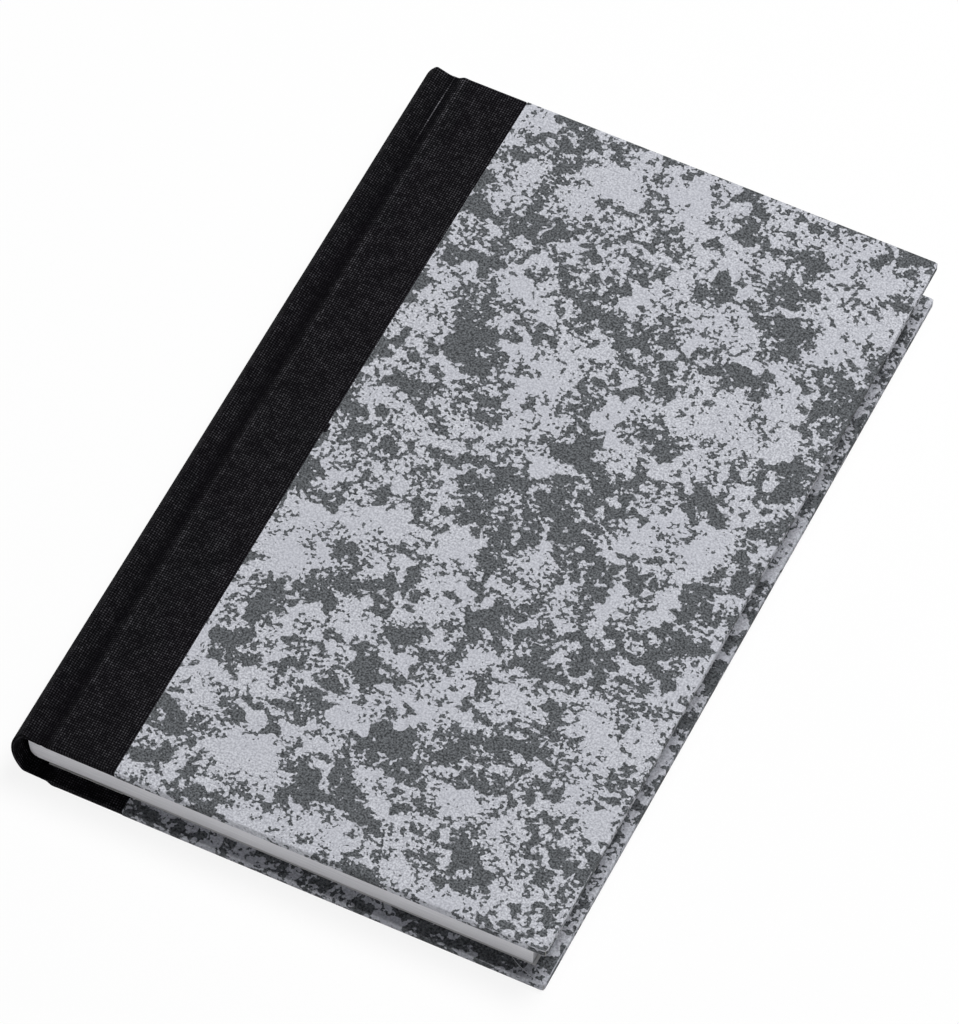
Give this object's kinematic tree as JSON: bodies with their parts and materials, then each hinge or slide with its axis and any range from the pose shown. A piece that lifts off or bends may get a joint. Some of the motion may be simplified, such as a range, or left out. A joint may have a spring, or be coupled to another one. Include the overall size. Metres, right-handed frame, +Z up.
{
  "type": "composition notebook",
  "caption": "Hardcover composition notebook, quarter bound: black cloth spine, mottled paper over boards, both covers hinged at a pressed groove.",
  "frame": {"origin": "middle of the underside of the back cover, on the surface that the closed book lies on", "axes": "+X from the spine to the fore-edge, +Y from foot to head, +Z up through the front cover"},
  "size_m": [0.13, 0.21, 0.0158],
  "materials": {
    "pages": "matt cut edges of uncoated leaves",
    "endpaper": "matt uncoated paper",
    "lining": "glued gauze and kraft paper",
    "strip_card": "flexible card",
    "book_cloth": "plain-weave book cloth",
    "grey_board": "dense grey board",
    "cover_paper": "matt mottled paper, light and dark grey"
  },
  "bodies": {
    "book_block": {"text_block": "pages", "front_flyleaf": "endpaper", "back_flyleaf": "endpaper", "spine_lining": "lining", "spine_strip": "strip_card", "spine_cloth": "book_cloth"},
    "front_cover": {"front_board": "grey_board", "front_cloth": "book_cloth", "front_cover_paper": "cover_paper", "front_pastedown": "endpaper"},
    "back_cover": {"back_board": "grey_board", "back_cloth": "book_cloth", "back_cover_paper": "cover_paper", "back_pastedown": "endpaper"}
  },
  "joints": [
    {"name": "front_hinge", "type": "hinge", "parent": "book_block", "child": "front_cover", "pos_m": [-0.0576, 0, 0.0147], "axis": [0, -1, 0], "range_deg": [0, 180], "deforming": ["spine_cloth", "spine_strip"]},
    {"name": "back_hinge", "type": "hinge", "parent": "book_block", "child": "back_cover", "pos_m": [-0.0576, 0, 0.0011], "axis": [0, 1, 0], "range_deg": [0, 180], "deforming": ["spine_cloth", "spine_strip"]}
  ]
}
